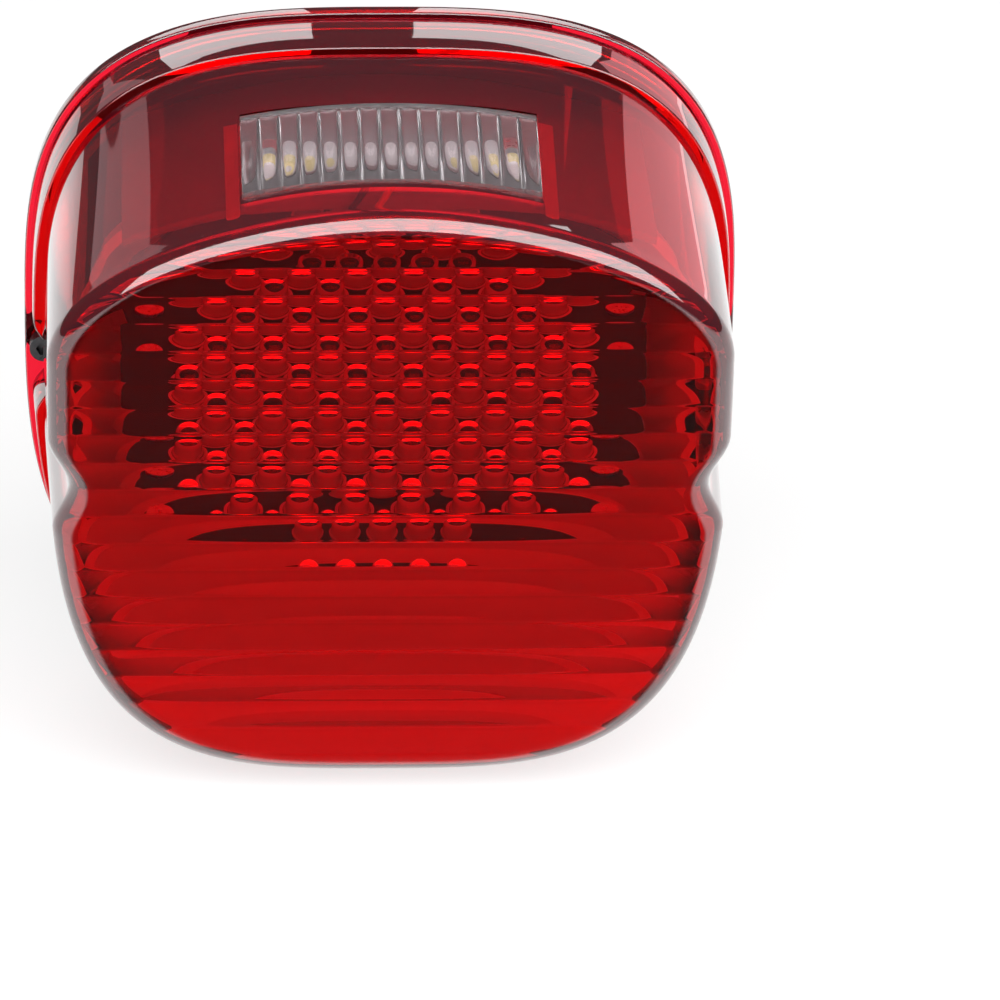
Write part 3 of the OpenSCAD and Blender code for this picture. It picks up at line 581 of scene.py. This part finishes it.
def make_window():
    """Clear arched plate with convex flutes underneath, following the roof's slope."""
    roof_back, roof_front = LIP_TOP - WALL_INSET, FACE_MID + FACE_RISE
    fall = (roof_back - roof_front) / (face_depth(roof_front) - SHOULDER)
    middle = (WINDOW_BACK + WINDOW_FRONT) / 2
    crown = roof_back - (middle - SHOULDER) * fall
    half = WINDOW_HALF - WINDOW_GAP
    x = np.linspace(-half, half, FLUTES * FLUTE_COLUMNS + 1)
    pitch = 2 * WINDOW_HALF / FLUTES
    local = (x + WINDOW_HALF) % pitch - pitch / 2
    flute = FLUTE_SHARE * np.sqrt(np.maximum(0, FLUTE_RADIUS ** 2 - local ** 2))
    top = crown - WINDOW_ARCH + np.sqrt(WINDOW_ARCH ** 2 - x ** 2)
    under = crown - WINDOW_ARCH + np.sqrt((WINDOW_ARCH - WINDOW_THICKNESS) ** 2 - x ** 2) - flute
    section = np.concatenate([np.stack([x, top], 1), np.stack([x, under], 1)[::-1]])
    ends = [(WINDOW_BACK + along, share) for along, share in FLUTE_RUN_OUT]
    ends += [(WINDOW_FRONT - along, share) for along, share in reversed(FLUTE_RUN_OUT)]
    rings = []
    for depth, share in ends:
        ring = section.copy()
        ring[:, 1] -= (depth - middle) * fall
        ring[len(x):, 1] += (1 - share) * flute[::-1]
        rings.append(at_depth(ring, depth))
    make_piece("fluted_window", skin(rings, "strips", "strips"), clear_lens,
               "lens", ["plate_window"])


def roof_under(x, depth):
    """Height of the roof's inner side."""
    foot_share = (1 - (abs(x) / (LIP_HALF - WALL_INSET - WALL)) ** LIP_POWER) ** (1 / LIP_POWER)
    foot = (LIP_TOP - WALL_INSET - WALL) * foot_share
    edge_share = (1 - (abs(x) / (FACE_HALF - WALL)) ** FACE_TOP_POWER) ** (1 / FACE_TOP_POWER)
    edge = FACE_MID + (FACE_RISE - WALL) * edge_share
    return foot + (edge - foot) * (depth - LEDGE) / (face_depth(edge) - FACE_THICKNESS - LEDGE)


def make_bond():
    """Beads of cement under the roof along the window's two ends."""
    angles = [math.pi * k / BOND_STEPS for k in range(BOND_STEPS + 1)]
    section = [(BOND_WIDTH * (0.5 - 0.5 * math.cos(a)),
                BOND_TOP + (BOND_FOOT - BOND_TOP) * math.sin(a) ** 0.5) for a in angles]
    beads = []
    for side in (-1, 1):
        across = [(side * (WINDOW_HALF + BOND_GAP + out), sink) for out, sink in section]
        rings = [np.array([(x, roof_under(x, depth) - sink, depth) for x, sink in across])
                 for depth in np.linspace(WINDOW_BACK, WINDOW_FRONT + BOND_WIDTH, BOND_RINGS)]
        beads.append(skin(rings, "plain", "plain"))
    make_piece("window_bond", merged(*beads), bond_white, "lens")


# Lamp inside

def make_reflector():
    """Bright bowl with a rounded foot, open at the front, with holes in its floor."""
    def ring(inset, depth):
        return at_depth(outline(BOWL_HALF - inset, 0.0, BOWL_TOP - inset, BOWL_BOTTOM - inset,
                                LIP_POWER, LIP_POWER, CHANNEL_DEPTH - SKIRT_INNER), depth)

    profile = [(BOWL_SLOPE * (1 - t) ** BOWL_CURVE, BOWL_FLOOR + (BOWL_FRONT - BOWL_FLOOR) * t)
               for t in (k / BOWL_STEPS for k in range(BOWL_STEPS + 1))]
    floor_top = BOWL_FLOOR + BOWL_WALL
    outer = [ring(inset, depth) for inset, depth in profile]
    inner = [ring(inset + BOWL_WALL, max(depth, floor_top)) for inset, depth in reversed(profile)]
    start, end = BOWL_FLOOR - CUT_PAST, floor_top + CUT_PAST
    holes = [rod(x, height, start, end, radius) for x, height, radius in BOWL_HOLES]
    make_piece("reflector_bowl", skin(outer + inner, "strips", "strips"), chrome,
               "base", ["reflector"], holes)


def led_field():
    """Places of the LEDs in the staggered field."""
    return [(c * LED_COLUMN, LED_TOP - row * LED_ROW, BOARD_FRONT)
            for row, reach in enumerate(LED_REACH) for c in range(-reach, reach + 1, 2)]


def led_short_rows():
    """Places of the LEDs in the short rows above and below the field."""
    above = LED_TOP + LED_ROW + LED_COLLAR / 2
    below = LED_TOP - len(LED_REACH) * LED_ROW - LED_COLLAR / 2
    return [(k * SHORT_ROW, height, BOARD_FRONT)
            for k in range(-SHORT_REACH, SHORT_REACH + 1) for height in (above, below)]


def led_body():
    straight = LED_HEIGHT - LED_RADIUS
    turns = [DOME_START + DOME_TURN * k / DOME_STEPS for k in range(DOME_STEPS + 1)]
    dome = [(LED_RADIUS * math.cos(a), straight + LED_RADIUS * math.sin(a))
            for a in map(math.radians, turns)]
    return turned([*LED_FOOT, (LED_RADIUS, straight), *dome], BODY_SIDES)


def make_leds():
    """Milky bodies with clear domes, what they hold, and the rings printed round the field's."""
    field = led_field()
    spots = field + led_short_rows()
    bodies = make_piece("led_bodies", repeated(led_body(), spots), led_epoxy,
                        "base", ["red_leds"])
    bodies.data.materials.append(led_dome)
    clear_from = LED_HEIGHT - LED_RADIUS + LED_RADIUS * math.sin(math.radians(DOME_CLEAR))
    for face in bodies.data.polygons:
        if face.center.y < -(BOARD_FRONT + clear_from) * MM:
            face.material_index = 1
    print_ring = turned_ring(PRINT_RING, PRINT_SIDES)
    make_piece("board_print", repeated(print_ring, field), chip_white, "base")
    core = turned(LED_CORE, CORE_SIDES)
    make_piece("led_cores", repeated(core, spots), black_component, "base")
    cup = turned_ring(LED_CUP, CORE_SIDES)
    make_piece("led_cups", repeated(cup, spots), cup_silver, "base")
    lead_frame = merged(turned(LED_FLANGE, CORE_SIDES), box(*LED_ANVIL), box(*LED_POST))
    make_piece("led_leadframes", repeated(lead_frame, spots), silver, "base")


def hood_height(x):
    """Height of the hood's top at a place across it."""
    arch = (HOOD_HALF ** 2 + HOOD_SAG ** 2) / (2 * HOOD_SAG)
    return HOOD_CROWN - arch + np.sqrt(arch ** 2 - x ** 2)


def make_hood():
    """Arched shade with a rounded front edge, and the pad that carries the plate-light board."""
    half = HOOD_THICKNESS / 2
    turns = [math.pi / 2 - math.pi * k / NOSE_STEPS for k in range(NOSE_STEPS + 1)]
    nose = [(HOOD_FRONT - half + half * math.cos(a), -half + half * math.sin(a)) for a in turns]
    section = np.array([(HOOD_BACK, 0.0), *nose, (HOOD_BACK, -HOOD_THICKNESS)])
    depth, drop = section[:, 0], section[:, 1]
    rings = [np.column_stack([np.full(len(section), x), hood_height(x) + drop, depth])
             for x in np.linspace(-HOOD_HALF, HOOD_HALF, HOOD_RINGS)]
    shade = skin(rings, "plain", "plain")
    pad = rounded_box((-PAD_HALF, HOOD_CROWN - PAD_DROP, PAD_BACK),
                      (PAD_HALF, HOOD_CROWN, HOOD_FRONT), PAD_EDGE)
    make_piece("arched_hood", merged(shade, pad), hood_plastic,
               "base", ["plate_hood"])


def make_plate_board():
    """White board with a tongue at its front; all edges a little broken."""
    low = PLATE_TOP - PLATE_THICKNESS
    body = rounded_box((-PLATE_HALF, low, PLATE_BACK),
                       (PLATE_HALF, PLATE_TOP, PLATE_FRONT), PLATE_EDGE)
    tongue = rounded_box((-TONGUE_HALF, low, PLATE_FRONT - TONGUE_LAP),
                         (TONGUE_HALF, PLATE_TOP, TONGUE_FRONT), PLATE_EDGE)
    make_piece("plate_light_board", merged(body, tongue), white_board,
               "base", ["plate_board"])


def jumper_route(side):
    """Control points from the plate-light board over the hood's edge to the light board."""
    start = side * WIRE_SPREAD
    end = start - WIRE_SHIFT
    pad = PLATE_FRONT + TONGUE_LAP
    return [(start, PLATE_TOP, pad), (start, PLATE_TOP + WIRE_RISE, pad),
            (start - WIRE_DRIFT, PLATE_TOP + WIRE_CREST, WIRE_REACH),
            (end, PLATE_TOP - WIRE_FALL, WIRE_REACH),
            (end, WIRE_FOOT, WIRE_REACH - WIRE_DRAW), (end, WIRE_FOOT, BOARD_FRONT)]


def make_jumper(name, side, material, node):
    """Insulated wire with bare, soldered ends."""
    route = jumper_route(side)
    insulation = tube(route, WIRE_RADIUS, WIRE_START, WIRE_END, WIRE_STEPS)
    make_piece(name, insulation, material, "base", [node])
    cores = [tube(route, CORE_RADIUS, 0.0, WIRE_START + CORE_LAP, CORE_STEPS),
             tube(route, CORE_RADIUS, WIRE_END - CORE_LAP, 1.0, CORE_STEPS)]
    foot = moved(turned(SOLDER_FOOT, SOLDER_SIDES), route[-1])
    cone, faces = turned(SOLDER_HEAD, SOLDER_SIDES)
    head = moved((cone[:, [0, 2, 1]], faces), route[0])
    make_piece(name + "_ends", merged(*cores, foot, head), solder, "base")


def make_white_chips():
    """Row of white LED chips with yellow phosphor on top."""
    half = (CHIP_COUNT - 1) / 2
    spots = [(k * CHIP_PITCH, PLATE_TOP, CHIP_DEPTH) for k in np.arange(-half, half + 1)]
    chips = repeated(rounded_box(*CHIP_BOX, CHIP_EDGE), spots)
    make_piece("white_chips", chips, chip_white, "base", ["white_leds"])
    caps = repeated(rounded_box(*CAP_BOX, CAP_EDGE), spots)
    make_piece("phosphor_caps", caps, phosphor, "base")


# Pieces that keep their CAD shape

def break_edges(piece, width):
    """Joins the piece's faces and rounds its sharp edges a little, so that they catch light."""
    weld = piece.modifiers.new("join_faces", "WELD")
    weld.merge_threshold = JOIN_GAP * MM
    bevel = piece.modifiers.new("broken_edges", "BEVEL")
    bevel.width = width * MM
    bevel.segments = BROKEN_STEPS
    bevel.limit_method = "ANGLE"
    bevel.angle_limit = BROKEN_ANGLE
    even = piece.modifiers.new("even_shading", "WEIGHTED_NORMAL")
    even.keep_sharp = True


def dress_cad_nodes():
    looks = {
        "base_housing": black_plastic, "board_posts": black_plastic,
        "base_seal": rubber, "rim_gasket": rubber, "wire_grommet": rubber,
        "mount_inserts": brass, "lens_screw_inserts": brass,
        "light_board": black_board,
        "board_screws": steel, "plate_board_screws": steel,
        # The lens screws and washers get the near-black steel, which is painted shade rather than
        # their plated finish.
        "left_lens_screw": shaded_screw_steel, "right_lens_screw": shaded_screw_steel,
        "left_screw_washer": shaded_screw_steel, "right_screw_washer": shaded_screw_steel,
        "chip_resistors": black_component, "regulator": black_component,
        "surge_diode": black_component,
        "filter_capacitor": capacitor_sleeve, "lead_connector": ivory_plastic,
    }
    for name, material in looks.items():
        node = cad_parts[name]
        node.data.materials.clear()
        node.data.materials.append(material)
        if name in BROKEN_EDGES:
            break_edges(node, BROKEN_EDGES[name])


# Stage

def floor_material():
    """Grey floor that glows white where it is seen, mirrored or looked at through glass."""
    mat, nodes, links, shader = new_material("floor")
    shader.inputs["Base Color"].default_value = (FLOOR_GREY, FLOOR_GREY, FLOOR_GREY, 1)
    shader.inputs["Roughness"].default_value = FLOOR_ROUGHNESS
    shader.inputs["Specular IOR Level"].default_value = 0.0
    path = nodes.new("ShaderNodeLightPath")
    seen = path.outputs["Is Camera Ray"]
    for ray in ("Is Glossy Ray", "Is Transmission Ray"):
        either = nodes.new("ShaderNodeMath")
        either.operation = "MAXIMUM"
        links.new(seen, either.inputs[0])
        links.new(path.outputs[ray], either.inputs[1])
        seen = either.outputs["Value"]
    level = nodes.new("ShaderNodeMath")
    level.operation = "MULTIPLY"
    links.new(seen, level.inputs[0])
    level.inputs[1].default_value = FLOOR_GLOW
    shader.inputs["Emission Color"].default_value = (1, 1, 1, 1)
    links.new(level.outputs["Value"], shader.inputs["Emission Strength"])
    return mat


def make_floor():
    r = FLOOR_REACH
    corners = [(x, y, FLOOR) for x, y in ((-r, -r), (r, -r), (r, r), (-r, r))]
    mesh = bpy.data.meshes.new("floor")
    mesh.from_pydata(corners, [], [(0, 1, 2, 3)])
    mesh.materials.append(floor_material())
    floor = put("floor", mesh)


def make_world():
    """Faint even light, which the camera sees as white."""
    world = bpy.data.worlds.new("studio")
    bpy.context.scene.world = world
    world.use_nodes = True
    nodes, links = world.node_tree.nodes, world.node_tree.links
    back = nodes["Background"]
    back.inputs["Color"].default_value = (1, 1, 1, 1)
    path = nodes.new("ShaderNodeLightPath")
    level = spread(nodes, links, path.outputs["Is Camera Ray"], WORLD_LEVEL, 1.0, 0.0, 1.0)
    links.new(level, back.inputs["Strength"])


def make_light(name, spot, target, size, radiance, roll=0.0, colour=(1, 1, 1)):
    """Rectangular soft box of a size in metres, with a brightness and a roll in degrees."""
    data = bpy.data.lights.new(name, "AREA")
    data.color = colour
    data.shape = "RECTANGLE"
    data.size, data.size_y = size
    data.energy = radiance * math.pi * size[0] * size[1]
    light = put(name, data)
    light.location = spot
    light.rotation_mode = "QUATERNION"
    facing = (Vector(target) - Vector(spot)).to_track_quat("-Z", "Y")
    light.rotation_quaternion = facing @ Quaternion((0, 0, 1), math.radians(roll))


def make_lights():
    """Large front light, and panels behind the lamp that its skirt and roof corners mirror."""
    make_light("front_box", spot=(0.1, -0.78, 0.8), target=FRONT_TARGET,
               size=(2.4, 1.15), radiance=4.0)
    make_light("right_back", spot=(0.336, 1.256, 0.7), target=BACK_TARGET,
               size=(0.54, 0.39), radiance=2.0, roll=6.0)
    make_light("right_strip", spot=(0.764, 1.052, 0.29), target=BACK_TARGET,
               size=(0.374, 0.7), radiance=1.3, colour=STRIP_PINK)
    make_light("left_back", spot=(-0.292, 1.267, 0.7), target=BACK_TARGET,
               size=(0.54, 0.39), radiance=2.0, roll=-6.0)
    make_light("left_strip", spot=(-0.764, 1.052, 0.478), target=BACK_TARGET,
               size=(0.19, 0.5), radiance=0.5, colour=STRIP_ROSE)


def make_camera():
    """Camera fitted to the photograph, with the pixel where the middle of the lens's back lands."""
    distance, pixels_per_mm, seen_at, image, sensor = 1.8, 5.45, (379.2, 292.0), 1000.0, 36.0
    elevation, azimuth, roll = math.radians(27), math.radians(-2.2), math.radians(0.8)
    target = Vector((0, -LENS_BACK * MM, 0))
    back = Vector((math.sin(azimuth) * math.cos(elevation),
                   -math.cos(azimuth) * math.cos(elevation), math.sin(elevation)))
    level = Vector((math.cos(azimuth), math.sin(azimuth), 0))
    upright = back.cross(level)
    right = level * math.cos(roll) + upright * math.sin(roll)
    up = upright * math.cos(roll) - level * math.sin(roll)
    focal = pixels_per_mm * distance / MM
    aside, above = image / 2 - seen_at[0], image / 2 - seen_at[1]
    ahead = (-back * focal + right * aside - up * above).normalized()
    z = -ahead
    x = (right - z * right.dot(z)).normalized()
    y = z.cross(x)
    data = bpy.data.cameras.new("camera")
    data.sensor_width = sensor
    data.lens = focal * sensor / image
    data.clip_start, data.clip_end = 0.05, 50
    camera = put("camera", data)
    turn = Matrix((x, y, z)).transposed().to_4x4()
    camera.matrix_world = Matrix.Translation(target + back * distance) @ turn
    bpy.context.scene.camera = camera


make_lens()
make_window()
make_bond()
make_reflector()
make_leds()
make_hood()
make_plate_board()
make_jumper("red_lead", 1, red_wire, "red_jumper")
make_jumper("black_lead", -1, black_wire, "black_jumper")
make_white_chips()
dress_cad_nodes()

bpy.context.scene.view_settings.view_transform = "Standard"
make_floor()
make_world()
make_lights()
make_camera()
